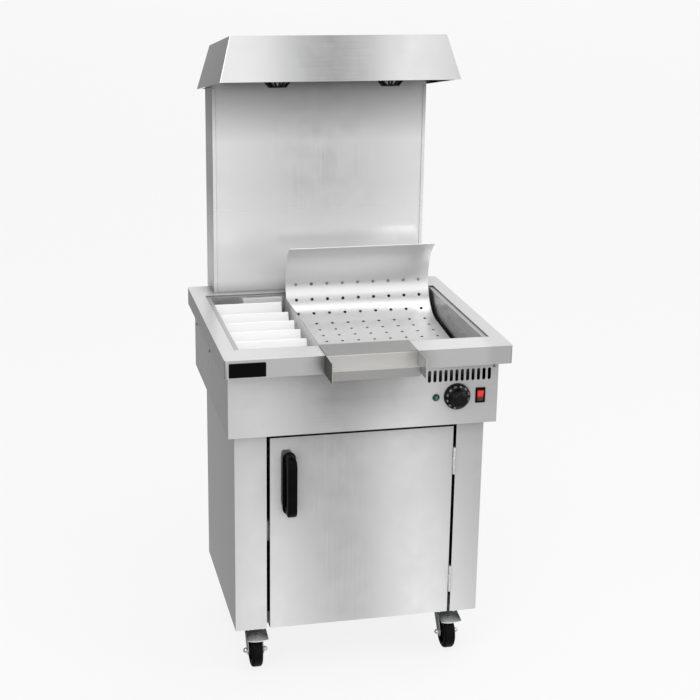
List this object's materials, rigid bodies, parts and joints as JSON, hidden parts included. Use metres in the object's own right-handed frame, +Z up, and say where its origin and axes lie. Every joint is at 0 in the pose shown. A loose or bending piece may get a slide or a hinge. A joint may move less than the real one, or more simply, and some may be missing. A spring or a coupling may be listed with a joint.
{
  "type": "chip scuttle",
  "caption": "Freestanding heated chip scuttle with a bagging well, perforated chip slide, bag rack, gantry with a lamp hood, and a cupboard on braked castors",
  "frame": {"origin": "on the floor at the centre of the footprint", "axes": "+Z up, the front with door and dial faces -Y, +X to the right of a person who faces it"},
  "size_m": [0.6, 0.7318, 1.349],
  "materials": {
    "brushed_sheet": "fine brushed stainless sheet, soft sheen",
    "satin_sheet": "satin stainless sheet",
    "slide_sheet": "brushed stainless sheet, perforated",
    "rack_sheet": "pale satin stainless sheet",
    "sheathed_element": "dull grey sheathed element",
    "black_plastic": "black moulded plastic, slight grain",
    "guard_plastic": "black heat-proof moulding",
    "lamp_glass": "frosted white lamp face",
    "lens_green": "green translucent lens",
    "rocker_red": "red translucent rocker",
    "catch_plastic": "off-white moulding",
    "copper_phial": "drawn copper phial",
    "tyre_black": "black tread and hub moulding",
    "zinc_plate": "bright zinc plate"
  },
  "bodies": {
    "frame": {"worktop": "brushed_sheet", "well_tank": "satin_sheet", "well_partition": "satin_sheet", "heating_element": "sheathed_element", "element_clamps": "satin_sheet", "upper_casing": "brushed_sheet", "fascia_panel": "brushed_sheet", "casing_floor": "satin_sheet", "cabinet_left_side": "brushed_sheet", "cabinet_right_side": "brushed_sheet", "cabinet_back": "brushed_sheet", "cabinet_floor": "satin_sheet", "header_rail": "brushed_sheet", "gantry_front_panel": "brushed_sheet", "gantry_rear_cover": "brushed_sheet", "canopy_shell": "brushed_sheet", "canopy_brackets": "brushed_sheet", "lamp_plate": "satin_sheet", "lamp_guards": "guard_plastic", "lamp_holders": "zinc_plate", "lamp_bulbs": "lamp_glass", "thermostat_body": "black_plastic", "thermostat_phial": "copper_phial", "pilot_lamp": "lens_green", "switch_housing": "black_plastic", "terminal_block": "catch_plastic", "cable_gland": "black_plastic", "hinge_frame_leaves": "zinc_plate", "hinge_pins": "zinc_plate", "door_catch": "catch_plastic", "castor_plates": "zinc_plate"},
    "door": {"door_skin": "brushed_sheet", "door_liner": "brushed_sheet", "door_handle": "black_plastic", "handle_screws": "zinc_plate", "hinge_door_leaves": "zinc_plate", "catch_strike": "zinc_plate"},
    "dial": {"control_knob": "black_plastic", "thermostat_spindle": "zinc_plate"},
    "rocker": {"rocker_button": "rocker_red"},
    "slide": {"chip_slide": "slide_sheet", "slide_stay": "brushed_sheet"},
    "rack": {"rack_base": "rack_sheet", "rack_dividers": "rack_sheet"},
    "tray": {"front_tray": "brushed_sheet", "tray_cheeks": "brushed_sheet"},
    "fork_front_left": {"castor_fork_front_left": "zinc_plate", "castor_axle_front_left": "zinc_plate"},
    "wheel_front_left": {"castor_wheel_front_left": "tyre_black"},
    "fork_front_right": {"castor_fork_front_right": "zinc_plate", "castor_axle_front_right": "zinc_plate"},
    "wheel_front_right": {"castor_wheel_front_right": "tyre_black"},
    "fork_rear_left": {"castor_fork_rear_left": "zinc_plate", "castor_axle_rear_left": "zinc_plate"},
    "wheel_rear_left": {"castor_wheel_rear_left": "tyre_black"},
    "fork_rear_right": {"castor_fork_rear_right": "zinc_plate", "castor_axle_rear_right": "zinc_plate"},
    "wheel_rear_right": {"castor_wheel_rear_right": "tyre_black"},
    "brake_left": {"brake_pedal_left": "zinc_plate"},
    "brake_right": {"brake_pedal_right": "zinc_plate"}
  },
  "joints": [
    {"name": "door_hinge", "type": "hinge", "parent": "frame", "child": "door", "pos_m": [0.2068, -0.22143, 0.3315], "axis": [0, 0, 1], "range_deg": [0, 165]},
    {"name": "dial_turn", "type": "hinge", "parent": "frame", "child": "dial", "pos_m": [0.198, -0.25293, 0.629], "axis": [0, 1, 0], "range_deg": [0, 300]},
    {"name": "rocker_tilt", "type": "hinge", "parent": "frame", "child": "rocker", "pos_m": [0.249, -0.24793, 0.629], "axis": [-1, 0, 0], "range_deg": [0, 16]},
    {"name": "slide_lift", "type": "slide", "parent": "frame", "child": "slide", "axis": [0, 0, 1], "range_m": [0, 0.16]},
    {"name": "rack_lift", "type": "slide", "parent": "frame", "child": "rack", "axis": [0, 0, 1], "range_m": [0, 0.15]},
    {"name": "tray_lift", "type": "slide", "parent": "frame", "child": "tray", "axis": [0, 0, 1], "range_m": [0, 0.08]},
    {"name": "swivel_front_left", "type": "hinge", "parent": "frame", "child": "fork_front_left", "pos_m": [-0.219, -0.14093, 0.0945], "axis": [0, 0, 1], "continuous": true},
    {"name": "spin_front_left", "type": "hinge", "parent": "fork_front_left", "child": "wheel_front_left", "pos_m": [-0.219, -0.17193, 0.0375], "axis": [1, 0, 0], "continuous": true},
    {"name": "swivel_front_right", "type": "hinge", "parent": "frame", "child": "fork_front_right", "pos_m": [0.219, -0.14093, 0.0945], "axis": [0, 0, 1], "continuous": true},
    {"name": "spin_front_right", "type": "hinge", "parent": "fork_front_right", "child": "wheel_front_right", "pos_m": [0.219, -0.17193, 0.0375], "axis": [1, 0, 0], "continuous": true},
    {"name": "swivel_rear_left", "type": "hinge", "parent": "frame", "child": "fork_rear_left", "pos_m": [-0.219, 0.13407, 0.0945], "axis": [0, 0, 1], "continuous": true},
    {"name": "spin_rear_left", "type": "hinge", "parent": "fork_rear_left", "child": "wheel_rear_left", "pos_m": [-0.219, 0.10307, 0.0375], "axis": [1, 0, 0], "continuous": true},
    {"name": "swivel_rear_right", "type": "hinge", "parent": "frame", "child": "fork_rear_right", "pos_m": [0.219, 0.13407, 0.0945], "axis": [0, 0, 1], "continuous": true},
    {"name": "spin_rear_right", "type": "hinge", "parent": "fork_rear_right", "child": "wheel_rear_right", "pos_m": [0.219, 0.10307, 0.0375], "axis": [1, 0, 0], "continuous": true},
    {"name": "brake_left", "type": "hinge", "parent": "fork_front_left", "child": "brake_left", "pos_m": [-0.219, -0.14893, 0.084], "axis": [1, 0, 0], "range_deg": [0, 8]},
    {"name": "brake_right", "type": "hinge", "parent": "fork_front_right", "child": "brake_right", "pos_m": [0.219, -0.14893, 0.084], "axis": [1, 0, 0], "range_deg": [0, 8]}
  ]
}
